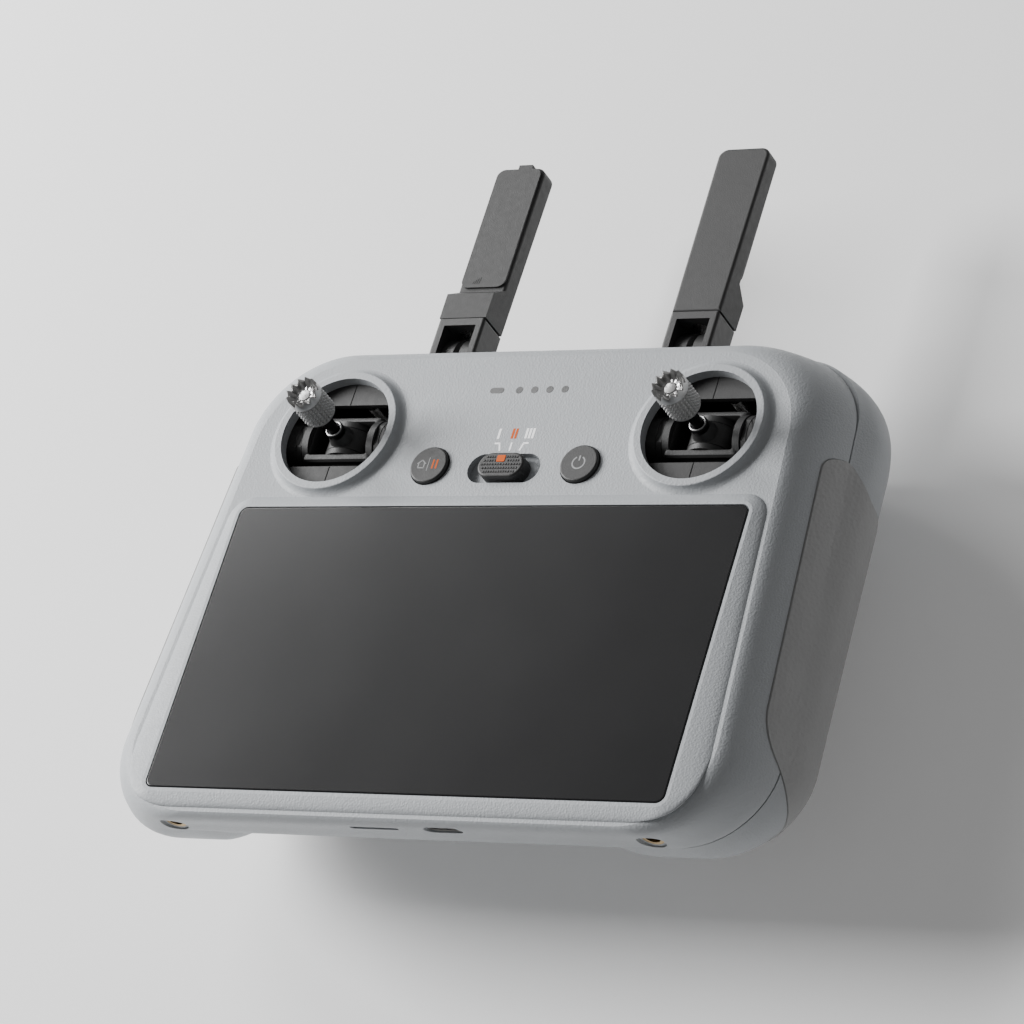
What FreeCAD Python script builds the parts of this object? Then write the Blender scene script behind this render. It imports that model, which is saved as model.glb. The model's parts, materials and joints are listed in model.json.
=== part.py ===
"""Handheld radio transmitter with a built-in touch screen, two stick gimbals and two folding antennas.

Built about the centre of the touch glass's outer face: +X to the holder's right, +Y towards the antennas,
+Z out of the screen. settle() then carries every node to the row frame, whose origin is the bottom centre of
the whole bounding box. Millimetres. Depths below the glass are positive numbers in the sheet.
"""

import FreeCAD, Part

import functools
import math
import os
import re

from FreeCAD import Placement, Rotation, Vector

doc = FreeCAD.newDocument("transmitter")

# ---------------------------------------------------------------- driving dimensions

SIZES = {
    # touch glass and display
    "glass_width": 128.0,
    "glass_height": 70.4,
    "glass_thick": 1.1,
    "glass_corner": 1.8,
    "glass_gap": 0.25,
    "lcd_width": 124.0,
    "lcd_height": 68.6,
    "lcd_thick": 2.6,
    # casing
    "half_width": 85.3,
    "widest_depth": 20.0,
    "side_run": 12.0,
    "face_drop": 1.4,
    "parting_depth": 12.0,
    "seam_gap": 0.3,
    "plate_depth": 16.2,
    "grip_depth": 46.2,
    "bottom_edge": 41.2,
    "top_edge": 79.2,
    "wall": 1.7,
    "pad_proud": 0.25,
    "pad_sink": 1.2,
    # stick gimbals
    "stick_x": 46.1,
    "stick_y": 55.2,
    "well_radius": 13.6,
    "ring_radius": 15.3,
    "ring_top": 0.3,
    "cup_radius": 14.6,
    "cup_top": 2.2,
    "channel_half": 8.0,
    "gimbal_depth": 7.9,
    "cradle_radius": 6.3,
    "cradle_half": 9.3,
    "window_half_x": 7.7,
    "window_half_y": 4.4,
    "drum_radius": 5.3,
    "drum_half": 4.15,
    "axle_radius": 1.4,
    "head_radius": 3.9,
    "head_bottom": 6.3,
    "head_length": 10.3,
    # buttons and lights on the face
    "button_x": 19.0,
    "button_y": 46.4,
    "button_radius": 4.6,
    "button_gap": 0.25,
    "button_proud": 0.9,
    "switch_y": 45.7,
    "switch_slot": 18.2,
    "switch_height": 7.4,
    "switch_knob": 11.6,
    "light_y": 65.9,
    "light_radius": 0.9,
    "light_pitch": 3.87,
    # antennas
    "antenna_x": 30.0,
    "antenna_width": 12.2,
    "tip_width": 13.0,
    "antenna_front": 10.0,
    "antenna_thick": 8.4,
    "blade_thick": 4.8,
    "pin_y": 83.3,
    "pin_depth": 17.6,
    "pin_radius": 1.0,
    "knuckle_radius": 7.6,
    "tongue_radius": 5.9,
    "tongue_width": 3.1,
    "tongue_gap": 1.6,
    "cheek_gap": 0.25,
    "seam_y": 91.3,
    "base_height": 6.6,
    "base_ramp": 2.8,
    "antenna_tip": 135.2,
    "tab_proud": 0.5,
    # lanyard thread inserts and ports on the lower edge
    "insert_x": 59.1,
    "insert_depth": 8.0,
    "insert_radius": 2.5,
    "thread_radius": 1.65,
    "insert_length": 6.0,
    "insert_face": 39.3,
    "port_depth": 4.9,
    "usb_x": 11.2,
    "card_x": -5.8,
    # cells and cooling
    "cell_radius": 9.1,
    "cell_length": 65.0,
    "cell_x": 62.0,
    "cell_y": -12.0,
    "cell_depth": 24.6,
    "fan_radius": 9.6,
    "fan_y": -4.0,
    # shoulder dials and buttons
    "dial_x": 52.4,
    "dial_y": 73.6,
    "dial_depth": 18.8,
    "dial_radius": 8.0,
    "dial_thick": 4.4,
    "trigger_x": 69.0,
    "trigger_y": 74.9,
    "trigger_depth": 20.0,
    "custom_x": 34.0,
    "custom_y": 12.0,
    "custom_radius": 4.2,
    # inside
    "frame_depth": 4.2,
    "board_depth": 7.0,
    "board_thick": 1.2,
    "post_x": 22.0,
    "post_low": -29.0,
    "post_high": 33.0,
    "boss_x": 18.0,
    "boss_y": 71.0,
    "screw_radius": 1.0,
}

sheet = doc.addObject("Spreadsheet::Sheet", "Sizes")
for row, (alias, size) in enumerate(SIZES.items(), start=1):
    sheet.set(f"A{row}", alias)
    sheet.set(f"B{row}", str(size))
    sheet.setAlias(f"B{row}", alias)
doc.recompute()


def size(alias):
    """A driving dimension, read from the sheet."""
    return float(sheet.get(alias))


def bound(text):
    """An expression in sheet aliases, as the document's expressions spell it."""
    return re.sub(r"[a-z][a-z_]+\w*", lambda m: "Sizes." + m.group(0) if m.group(0) in SIZES else m.group(0), text)


def bind(thing, prop, value):
    """Sets a property to a number, or binds it to an expression in sheet aliases."""
    if isinstance(value, str):
        thing.setExpression(prop, bound(value))
        return
    target, *path = prop.split(".")
    if not path:
        setattr(thing, prop, value)
        return
    placement = thing.Placement
    setattr(placement.Base, path[-1], value)
    thing.Placement = placement


AXES = {
    "x": Rotation(Vector(0, 1, 0), 90),
    "y": Rotation(Vector(1, 0, 0), -90),
    "z": Rotation(),
}
counter = [0]


def fresh(kind, **props):
    """A new document object of that kind, with its properties bound."""
    counter[0] += 1
    thing = doc.addObject(kind, f"Feature{counter[0]:03d}")
    at = props.pop("at", (0, 0, 0))
    turn = props.pop("turn", Rotation())
    thing.Placement = Placement(Vector(), turn)
    for prop, value in props.items():
        bind(thing, prop, value)
    for letter, value in zip("xyz", at):
        bind(thing, f"Placement.Base.{letter}", value)
    return thing


def joined(text_or_number, extra):
    """value + extra, where either may be an expression."""
    if isinstance(text_or_number, str) or isinstance(extra, str):
        return f"({text_or_number}) + ({extra})"
    return text_or_number + extra


def box(x, y, z, at):
    """A block of that size, centred on at in X and Y, rising from at's Z."""
    corner = (joined(at[0], f"-({x}) / 2"), joined(at[1], f"-({y}) / 2"), at[2])
    return fresh("Part::Box", Length=x, Width=y, Height=z, at=corner)


def rod(radius, length, at, axis="z"):
    """A cylinder that starts at a point and runs along an axis."""
    return fresh("Part::Cylinder", Radius=radius, Height=length, at=at, turn=AXES[axis])


def cone(low, high, length, at, axis="z"):
    return fresh("Part::Cone", Radius1=low, Radius2=high, Height=length, at=at, turn=AXES[axis])


def fuse(*parts):
    thing = fresh("Part::MultiFuse")
    thing.Shapes = list(parts)
    thing.Refine = True
    return thing


def cut(base, *tools):
    thing = fresh("Part::Cut")
    thing.Base = base
    thing.Tool = tools[0] if len(tools) == 1 else fuse(*tools)
    thing.Refine = False
    return thing


def common(first, second):
    thing = fresh("Part::MultiCommon")
    thing.Shapes = [first, second]
    return thing


def rounded(base, radius, wanted):
    """base with the edges that wanted(edge) picks rounded."""
    doc.recompute()
    thing = fresh("Part::Fillet")
    thing.Base = base
    value = size(radius) if isinstance(radius, str) else radius
    thing.Edges = [(n, value, value) for n, edge in enumerate(base.Shape.Edges, start=1) if wanted(edge)]
    return thing


def upright(edge):
    """True for an edge that runs along Z."""
    run = edge.valueAt(edge.LastParameter) - edge.valueAt(edge.FirstParameter)
    return abs(run.x) < 1e-6 and abs(run.y) < 1e-6 and run.Length > 1e-6


def tile(x, y, z, at, corner):
    """A block with its four upright edges rounded."""
    return rounded(box(x, y, z, at), corner, upright)


def moved(base, at=(0, 0, 0), turn=None):
    """A linked copy of base, carried to another place."""
    thing = fresh("Part::Compound", at=at, turn=turn or Rotation())
    thing.Links = [base]
    return thing


def group(*parts):
    """Several solids as one sub-part."""
    thing = fresh("Part::Compound")
    thing.Links = list(parts)
    return thing


def solid(shape):
    """A document object that holds a shape worked out in code."""
    counter[0] += 1
    thing = doc.addObject("Part::Feature", f"Feature{counter[0]:03d}")
    thing.Shape = shape
    return thing


NODES = {}
PRIMITIVES = {"Part::Box", "Part::Cylinder", "Part::Cone"}


def node(name, thing):
    """Names a finished sub-part: its label is its file's name. A bare primitive goes in a group of its own."""
    if thing.ExpressionEngine and thing.TypeId in PRIMITIVES:
        thing = group(thing)
    thing.Label = name
    NODES[name] = thing
    return thing


# ---------------------------------------------------------------- outlines and lofts


def rounded_wire(points, radii):
    """A closed wire of straight sides and tangent arcs round a flat polygon's corners.

    An arc takes up less than half of the shorter side beside it, whatever radius was asked for.
    """
    count = len(points)
    edges = []
    ends = []
    for i, wanted in enumerate(radii):
        back = points[i - 1] - points[i]
        ahead = points[(i + 1) % count] - points[i]
        room = 0.48 * min(back.Length, ahead.Length)
        back.normalize()
        ahead.normalize()
        half = back.getAngle(ahead) / 2
        reach = min(wanted / math.tan(half), room)
        radius = reach * math.tan(half)
        middle = points[i] + (back + ahead).normalize() * (radius / math.sin(half) - radius)
        ends.append((points[i] + back * reach, middle, points[i] + ahead * reach))
    for i in range(count):
        start, middle, end = ends[i]
        edges.append(Part.Arc(start, middle, end).toShape())
        edges.append(Part.LineSegment(end, ends[(i + 1) % count][0]).toShape())
    return Part.Wire(edges)


def outline(corners, depth):
    """A closed wire through rounded corners (x, y, radius), that deep below the glass."""
    return rounded_wire([Vector(x, y, -depth) for x, y, _ in corners], [radius for _, _, radius in corners])


def mirrored_corners(right):
    """Corners of the right half, from the lower to the upper, with their mirror images."""
    return right + [(-x, y, radius) for x, y, radius in reversed(right)]


def side(depth):
    """Half the casing's width at a depth in front of its widest line."""
    across = (size("widest_depth") - depth) / (size("widest_depth") - size("face_drop"))
    flare = (1 - max(across, 0.0) ** 1.5) ** (1 / 1.5)
    return size("half_width") - size("side_run") * (1 - flare)


# how far the side line leans inwards on its way from the lower corner to the shoulder
LEAN = 7.2
LOWER_ROUND = 19.0


def shoulder_round(depth):
    """The shoulder's radius in plan: concentric with the stick's collar at the face, tighter towards the back."""
    return 22.0 - 1.5 * (depth - size("face_drop")) / (size("parting_depth") - size("face_drop"))


def front_corners(depth, top, bottom, inset):
    """Corners of the front casing's outline at a depth."""
    x = side(depth) - inset
    low = (x, -bottom + inset, LOWER_ROUND - inset)
    return mirrored_corners([low, (x - LEAN, top - inset, shoulder_round(depth) - inset)])


# depth, how far the top and bottom edges stand in from their outermost lines
FRONT_LEVELS = [
    (1.4, 4.4, 0.9),
    (2.0, 3.1, 0.3),
    (3.4, 1.7, 0.0),
    (5.5, 0.8, 0.4),
    (8.5, 0.2, 1.1),
    (12.0, 0.0, 1.9),
]


@functools.cache
def front_loft(inset=0.0):
    """The front casing's outer form, from the face to the parting plane, taken in by inset."""
    wires = []
    for depth, top_in, bottom_in in FRONT_LEVELS:
        share = (size("parting_depth") - depth) / (size("parting_depth") - size("face_drop"))
        corners = front_corners(depth, size("top_edge") - top_in, size("bottom_edge") - bottom_in, inset)
        wires.append(outline(corners, depth + inset * share))
    return Part.makeLoft(wires, True, inset > 0)


@functools.cache
def plate_loft(inset=0.0):
    """The thin middle of the rear casing, between the grips."""
    bottom = size("bottom_edge")
    top = size("top_edge")
    levels = [(12.0, 0.0, 1.9), (13.8, 0.4, 2.6), (15.3, 1.2, 3.7), (16.2, 2.6, 5.4)]
    wires = []
    for depth, top_in, bottom_in in levels:
        share = (depth - size("parting_depth")) / (size("plate_depth") - size("parting_depth"))
        corners = [(60.0, -bottom + bottom_in + inset, 1.0), (60.0, top - top_in - inset, 1.0)]
        wires.append(outline(mirrored_corners(corners), depth - inset * share))
    return Part.makeLoft(wires, True, inset > 0)


# grip: depth, inner x, outer x at the lower corner, lower y, upper y, radii of the lower inner, lower outer and
# shoulder corners
GRIP_LEVELS = [
    (12.0, 40.0, 82.92, -39.3, 79.2, 12.0, 19.0, 20.5),
    (16.0, 40.5, 84.7, -38.7, 79.0, 12.5, 19.0, 20.5),
    (20.5, 41.5, 84.9, -37.0, 78.2, 13.5, 19.0, 20.5),
    (26.0, 43.5, 82.2, -32.6, 76.2, 15.0, 18.0, 19.5),
    (31.5, 46.8, 78.2, -24.2, 73.0, 15.0, 16.0, 16.0),
    (36.0, 51.0, 73.2, -11.2, 68.8, 11.0, 11.2, 11.0),
    (38.6, 54.8, 69.2, 1.0, 63.6, 7.0, 7.2, 6.8),
    (39.6, 57.8, 65.9, 11.0, 57.5, 4.0, 4.0, 3.6),
]


@functools.cache
def grip_loft(inset=0.0):
    """The right grip's bulge, from the parting plane back."""
    wires = []
    deepest = GRIP_LEVELS[-1][0]
    for depth, inner, outer, bottom, top, inner_round, outer_round, shoulder in GRIP_LEVELS:
        share = (depth - size("parting_depth")) / (deepest - size("parting_depth"))
        lean = LEAN * (1 - share * 0.85)
        corners = [
            (inner + inset, bottom + inset, inner_round),
            (outer - inset, bottom + inset, outer_round - inset),
            (outer - lean - inset, top - inset, shoulder - inset),
            (inner + inset, top - inset, inner_round * 0.5),
        ]
        wires.append(outline(corners, depth - inset * share))
    return Part.makeLoft(wires, True, inset > 0)


# finger hump: depth, inner x, outer x, lower y, upper y, radius of the shoulder corner
HUMP_LEVELS = [
    (17.0, 44.0, 77.4, 49.5, 76.3, 16.0),
    (22.0, 42.2, 78.4, 46.8, 77.2, 17.2),
    (28.0, 42.4, 75.6, 45.4, 76.2, 16.6),
    (34.0, 43.6, 72.2, 45.3, 74.2, 15.0),
    (39.5, 45.8, 68.6, 46.2, 71.6, 12.6),
    (43.6, 48.6, 65.2, 48.4, 68.4, 9.6),
    (45.6, 51.2, 62.6, 51.0, 65.4, 6.4),
    (46.2, 53.4, 60.6, 53.2, 63.2, 3.8),
]


@functools.cache
def hump_loft(inset=0.0):
    """The right finger hump, which stands out of the grip behind the shoulder."""
    wires = []
    deepest = size("grip_depth")
    for depth, inner, outer, bottom, top, shoulder in HUMP_LEVELS:
        share = max(0.0, (depth - 22.0) / (deepest - 22.0))
        corners = [
            (inner + inset, bottom + inset, shoulder * 0.5),
            (outer - inset, bottom + inset, shoulder * 0.5),
            (outer - 1.8 - inset, top - inset, shoulder - inset),
            (inner + inset, top - inset, shoulder * 0.5),
        ]
        wires.append(outline(corners, depth - inset * share))
    return Part.makeLoft(wires, True, inset > 0)


def mirrored(shape):
    """shape and its mirror image across the middle plane."""
    return shape.mirror(Vector(), Vector(1, 0, 0))


@functools.cache
def rear_form(inset=0.0):
    """The rear casing's outer form, taken in by inset."""
    right = grip_loft(inset).fuse(hump_loft(inset))
    return plate_loft(inset).multiFuse([right, mirrored(right)])


def screen_platform():
    """The rise of the face from the casing's rounded sides to the glass, which makes the two flush."""
    half = size("glass_width") / 2
    tall = size("glass_height") / 2
    top = tall + 3.6
    rim = side(size("face_drop")) - 0.9
    drawn_in = LEAN * (top + size("bottom_edge")) / (size("top_edge") + size("bottom_edge"))
    low = 1.8 - size("bottom_edge")
    foot = outline(mirrored_corners([(rim, low, LOWER_ROUND - 2.0), (rim - drawn_in, top, 6.0)]), 1.5)
    slope = outline(mirrored_corners([(half + 3.6, -tall - 2.3, 5.0), (half + 1.9, tall + 1.9, 3.8)]), 0.4)
    brow = outline(mirrored_corners([(half + 1.1, -tall - 1.1, 2.8), (half + 1.0, tall + 1.0, 2.8)]), 0.08)
    return Part.makeLoft([foot, slope, brow], True, False)


def seam_groove():
    """The thin ring of skin left off the front casing's rim, which shows as the line where the casings meet."""
    depth = size("parting_depth")
    ring_depth = size("seam_gap")
    slab = Part.makeBox(200, 200, ring_depth, Vector(-100, -100, -depth))
    core = Part.Face(outline(front_corners(depth, size("top_edge"), size("bottom_edge") - 1.9, 0.7), depth + 1.0))
    return solid(slab.cut(core.extrude(Vector(0, 0, 2.0))))


# ---------------------------------------------------------------- casing

SIDES = {"left": -1, "right": 1}


def pin_rod(radius, half, side_name):
    """A cylinder about an antenna's fold axis, half to each side of the antenna's middle."""
    start = f"{SIDES[side_name]} * antenna_x - ({half})"
    return rod(radius, f"2 * ({half})", (start, "pin_y", "-pin_depth"), "x")


def stadium(length, width, height, at):
    """An upright block with half-round ends along X, from at's Z up."""
    middle = box(f"({length}) - ({width})", width, height, at)
    half = f"(({length}) - ({width})) / 2"
    ends = [rod(f"({width}) / 2", height, (joined(at[0], f"{s} * {half}"), at[1], at[2])) for s in (-1, 1)]
    return fuse(middle, *ends)


def face_ring(side_name):
    """The raised collar round a stick's well, with a hollow foot that runs out into the face."""
    x = f"{SIDES[side_name]} * stick_x"
    foot = 2.2
    block = rod(f"ring_radius + {foot}", "ring_top + face_drop + 0.6", (x, "stick_y", "-face_drop - 0.6"))
    centre = (x, "stick_y", f"{foot - 0.02} - face_drop")
    sweep = fresh("Part::Torus", Radius1=f"ring_radius + {foot}", Radius2=foot, at=centre)
    return rounded(cut(block, sweep), 0.35, lambda edge: abs(edge.BoundBox.ZMin - size("ring_top")) < 1e-4)


def bracket_slot(side_name):
    """The way in for the hinge bracket's two arms."""
    centre = (f"{SIDES[side_name]} * antenna_x", "pin_y - 8", -14.4)
    return box("2 * tongue_width + tongue_gap + 0.6", 12.0, 3.0, centre)


def grip_stencil(s, margin):
    """The block whose overlap with the casing's skin is one rubber grip, grown by margin."""
    profile = [
        (-15.0, -6.5, 16.0),
        (-28.0, -17.5, 14.0),
        (-31.5, -30.0, 12.0),
        (-31.5, -60.0, 1.0),
        (46.5, -60.0, 1.0),
        (46.5, -19.0, 5.0),
        (53.0, -12.0, 2.6),
        (51.0, -6.5, 4.0),
    ]
    points = [Vector(s * (46.0 - margin), y, z) for y, z, _ in profile]
    face = Part.Face(rounded_wire(points, [radius for _, _, radius in profile]))
    if margin:
        face = Part.Face(face.OuterWire.makeOffset2D(margin))
    return face.extrude(Vector(s * 60.0, 0, 0))


def make_grip_pads():
    """The two rubber grips, let into the casing's sides and standing a little proud."""
    proud = front_loft(-size("pad_proud")).fuse(rear_form(-size("pad_proud")))
    core = front_loft(size("pad_sink")).fuse(rear_form(size("pad_sink")))
    skin = proud.cut(core)
    for side_name, s in SIDES.items():
        node(f"grip_pad_{side_name}", solid(skin.common(grip_stencil(s, 0.0))))


def grip_recesses(form):
    """The two recesses that the rubber grips lie in."""
    core = form(size("pad_sink"))
    return [grip_stencil(s, 0.12).cut(core) for s in SIDES.values()]


def face_openings():
    """What the front casing's face is cut with, apart from its hollow."""
    tools = [
        tile(
            "glass_width + 2 * glass_gap",
            "glass_height + 2 * glass_gap",
            5.0,
            (0, 0, "-face_drop - 0.01"),
            size("glass_corner") + size("glass_gap"),
        ),
        tile("lcd_width + 0.6", "lcd_height + 0.6", 5.0, (0, 0, -5.0), 2.0),
        stadium("switch_slot", "switch_height", 6.0, (0, "switch_y", -5.0)),
    ]
    for s in SIDES.values():
        tools.append(rod("well_radius", 8.0, (f"{s} * stick_x", "stick_y", -5.0)))
        tools.append(rod("cup_radius + 0.15", 10.5, (f"{s} * stick_x", "stick_y", "-10.5 - cup_top")))
        tools.append(rod("button_radius + button_gap", 6.0, (f"{s} * button_x", "button_y", -5.0)))
        tools.append(rod("insert_radius", 12.0, (f"{s} * insert_x", -45.3, "-insert_depth"), "y"))
        tools.append(rod("insert_radius + 0.7", 6.0, (f"{s} * insert_x", -45.3, "-insert_depth"), "y"))
    return tools + light_holes() + port_openings()


def light_places():
    """Centres of the four round charge lights."""
    return [f"({n} * light_pitch) - 2.4" for n in range(4)]


def light_holes(spare=0.0, bottom=-5.0, top=2.0):
    """The charge lights' four round holes and the status light's oblong one, or what fills them."""
    height = top - bottom
    dots = [rod(f"light_radius + {spare}", height, (x, "light_y", bottom)) for x in light_places()]
    return [stadium(3.6 + 2 * spare, 1.5 + 2 * spare, height, (-8.1, "light_y", bottom))] + dots


def port_openings():
    """The two slots in the lower edge, for the charging socket and the memory card."""
    usb = slot_across(9.3, 3.5, "usb_x", -46.0, 12.0)
    card = slot_across(12.0, 1.5, "card_x", -46.0, 12.0)
    return [usb, card]


def slot_across(width, height, x, y, length):
    """A stadium-ended bar that runs along Y at the ports' depth."""
    bar = stadium(width, height, length, (0, 0, 0))
    holder = moved(bar, at=(x, y, "-port_depth"), turn=AXES["y"])
    return holder


def make_front_shell():
    """The front casing: a rounded tray whose face carries the screen's lip, the stick collars and the buttons."""
    form = front_loft().fuse(screen_platform())
    rings = [face_ring(name) for name in SIDES]
    outer = fuse(solid(form), *rings)
    hollow = solid(front_loft(size("wall")))
    tray = cut(outer, hollow)
    extras = []
    for name, s in SIDES.items():
        extras.append(common(pin_rod("knuckle_radius + 1.6", "antenna_width / 2 + 1.6", name), solid(front_loft())))
        extras.append(rod(2.4, "13.1 - wall", (f"{s} * boss_x", "boss_y", -13.9)))
        boss = rod("insert_radius + 1.1", 7.0, (f"{s} * insert_x", -40.6, "-insert_depth"), "y")
        extras.append(common(boss, solid(front_loft())))
    tools = face_openings() + [solid(recess) for recess in grip_recesses(front_loft)] + [seam_groove()]
    for name, s in SIDES.items():
        tools.append(pin_rod("knuckle_radius + 0.35", "antenna_width / 2 + 0.35", name))
        tools.append(bracket_slot(name))
        tools.append(rod("screw_radius + 0.02", 7.0, (f"{s} * boss_x", "boss_y", -15.0)))
    node("front_shell", cut(fuse(tray, *extras), *tools))


def screw_places():
    """Where the six case screws stand: four in the mid frame's posts, two in the front casing's bosses."""
    low = [(f"{s} * post_x", "post_low") for s in SIDES.values()]
    high = [(f"{s} * post_x", "post_high") for s in SIDES.values()]
    return low + high + [(f"{s} * boss_x", "boss_y") for s in SIDES.values()]


def vent_slots():
    """Two rows of cooling slots through the rear plate, behind the fan and the heat sink."""
    rows = [("fan_y", 21.0), (24.0, 12.0)]
    return [box(1.9, length, 6.0, (4.0 * n, y, -19.0)) for y, length in rows for n in range(-3, 4)]


def speaker_holes():
    """A ring of round holes over the speaker."""
    places = [(0.0, 0.0)] + [(4.2 * math.cos(n * math.pi / 3), 4.2 * math.sin(n * math.pi / 3)) for n in range(6)]
    return [rod(0.8, 6.0, (SPEAKER_X + x, SPEAKER_Y + y, -19.0)) for x, y in places]


SPEAKER_X = -34.0
SPEAKER_Y = -24.0


def trigger_placement(s):
    """The frame of a shoulder button: Z out of the casing's slope, X along it."""
    normal = Vector(s * 0.5, 0.866, 0)
    along = Vector(0.866, -s * 0.5, 0)
    return Rotation(along, Vector(), normal, "ZXY")


def on_shoulder(thing, s):
    """A piece built about the origin, carried to a shoulder button's place."""
    at = (f"{s} * trigger_x", "trigger_y", "-trigger_depth")
    return moved(thing, at=at, turn=trigger_placement(s))


def make_rear_shell():
    """The rear casing: a thin middle plate between two hollow grips with finger humps."""
    tray = solid(rear_form().cut(rear_form(size("wall"))))
    extras = []
    tools = []
    small = vent_slots() + speaker_holes()
    for name, s in SIDES.items():
        extras.append(common(pin_rod("knuckle_radius + 1.6", "antenna_width / 2 + 1.6", name), solid(rear_form())))
        tools.append(rod("cup_radius + 0.15", 4.7, (f"{s} * stick_x", "stick_y", -15.7)))
        tools.append(pin_rod("knuckle_radius + 0.35", "antenna_width / 2 + 0.35", name))
        tools.append(bracket_slot(name))
        tools.append(rod("custom_radius + button_gap", 6.0, (f"{s} * custom_x", "custom_y", -19.0)))
        above_dial = (f"{s} * dial_x", "dial_y", "-dial_depth - dial_thick / 2 - 0.4")
        tools.append(rod("dial_radius + 0.4", "dial_thick + 0.8", above_dial))
        tools.append(on_shoulder(stadium(10.5, 5.9, 12.0, (0, 0, -5.0)), s))
    for x, y in screw_places():
        small.append(rod("screw_radius + 0.1", 6.0, (x, y, -18.0)))
        small.append(rod(2.1, 3.0, (x, y, "-plate_depth + 0.9 - 3")))
    carved = fuse(tray, *extras)
    carved.Refine = False
    for tool in tools + [solid(recess) for recess in grip_recesses(rear_form)]:
        carved = cut(carved, tool)
    node("rear_shell", cut(carved, *small))


# ---------------------------------------------------------------- screen


def make_screen():
    glass = tile("glass_width", "glass_height", "glass_thick", (0, 0, "-glass_thick"), "glass_corner")
    node("screen_glass", rounded(glass, 0.25, lambda edge: edge.BoundBox.ZMin > -1e-4))
    frame = tile("glass_width - 0.6", "glass_height - 0.6", 0.3, (0, 0, -1.4), 2.3)
    node("glass_adhesive", cut(frame, tile("lcd_width - 2", "lcd_height - 2", 1.0, (0, 0, -1.6), 1.5)))
    node("display_module", tile("lcd_width", "lcd_height", "lcd_thick", (0, 0, "-1.4 - lcd_thick"), 1.8))


def make_mid_frame():
    """The metal frame that backs the display and takes four of the case screws."""
    plate = tile(126.0, 68.0, 1.0, (0, 1.0, "-frame_depth - 1"), 4.0)
    posts = [rod(2.4, "9.2", (x, y, -14.4)) for x, y in screw_places()[:4]]
    bores = [rod("screw_radius + 0.02", 7.0, (x, y, -15.0)) for x, y in screw_places()[:4]]
    node("mid_frame", cut(fuse(plate, *posts), *bores))


# ---------------------------------------------------------------- boards, cooling, sound and power


def make_boards():
    board = tile(96.0, 64.0, "board_thick", (0, 0.5, "-board_depth - board_thick"), 3.0)
    clear = [rod(2.9, 4.0, (x, y, -10.0)) for x, y in screw_places()[:4]]
    node("main_board", cut(board, *clear))
    cans = [tile(18.0, 22.0, 1.8, (s * 35.0, 8.0, -10.0), 1.0) for s in SIDES.values()]
    node("shield_cans", group(*cans))
    node("button_board", tile(50.0, 26.0, 1.0, (0, 54.0, -6.9), 2.0))
    domes = [rod(2.6, 1.3, (f"{s} * button_x", "button_y", -5.9)) for s in SIDES.values()]
    node("button_switches", group(*domes))


def make_cooling():
    """The heat sink, and the fan behind the main board."""
    base = box(34.0, 13.0, 0.9, (0, 24.0, -9.1))
    fins = [box(0.7, 13.0, 3.6, (2.2 * n, 24.0, -12.6)) for n in range(-7, 8)]
    node("heat_sink", fuse(base, *fins))
    body = tile(23.0, 23.0, 5.4, (0, "fan_y", -14.0), 2.0)
    bore = rod("fan_radius + 0.5", 8.0, (0, "fan_y", -13.2))
    port = rod(4.6, 3.0, (0, "fan_y", -15.0))
    ring = cut(body, bore, cut(rod("fan_radius + 0.5", 2.0, (0, "fan_y", -14.6)), port))
    middle = (0, "fan_y", -14.0)
    spokes = [box("2 * fan_radius + 1.4", 1.6, 0.7, middle), box(1.6, "2 * fan_radius + 1.4", 0.7, middle)]
    hub = rod(3.0, 0.7, (0, "fan_y", -14.0))
    pin = rod(0.8, 4.6, (0, "fan_y", -14.0))
    node("fan_frame", fuse(ring, *spokes, hub, pin))
    rotor_hub = rod(4.2, 3.6, (0, "fan_y", -12.9))
    blades = []
    for n in range(9):
        blade = box("fan_radius - 3.6", 0.7, 3.2, ("3.2 + (fan_radius - 3.2) / 2", 0, -12.7))
        blades.append(moved(blade, at=(0, "fan_y", 0), turn=Rotation(Vector(0, 0, 1), 40.0 * n)))
    node("fan_rotor", cut(fuse(rotor_hub, *blades), rod(0.85, 6.0, (0, "fan_y", -14.4))))


def make_speaker():
    basket = rod(7.4, 3.4, (SPEAKER_X, SPEAKER_Y, -12.6))
    cone_space = cone(6.6, 3.0, 1.6, (SPEAKER_X, SPEAKER_Y, -12.6))
    node("speaker", cut(basket, cone_space))


def make_cells():
    """Two lithium cells, one in each grip, and the trough that each lies in."""
    troughs = []
    for name, s in SIDES.items():
        at = (f"{s} * cell_x", "cell_y", "-cell_depth")
        cell = rod("cell_radius", "cell_length", at, "y")
        rims = rounded(cell, 0.8, lambda edge: edge.Length > 20 and edge.BoundBox.YLength < 1e-3)
        node(f"battery_cell_{name}", rims)
        sleeve = rod("cell_radius + 0.7", 48.0, (at[0], -4.0, at[2]), "y")
        inner = rod("cell_radius + 0.02", 50.0, (at[0], -5.0, at[2]), "y")
        front = box(24.0, 52.0, 20.0, (at[0], 20.0, "-cell_depth - 2"))
        troughs.append(cut(sleeve, inner, front))
    node("battery_troughs", group(*troughs))


# ---------------------------------------------------------------- buttons and lights on the face


def make_face_buttons():
    for name, s in (("return_button", -1), ("power_button", 1)):
        x = f"{s} * button_x"
        cap = rod("button_radius", "3.9 + button_proud - face_drop", (x, "button_y", -3.9))
        cap = rounded(cap, 0.45, lambda edge: abs(edge.BoundBox.ZMin - (size("button_proud") - 1.4)) < 1e-4)
        node(name, fuse(cap, rod("button_radius + 0.6", 0.7, (x, "button_y", -3.9))))


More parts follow.
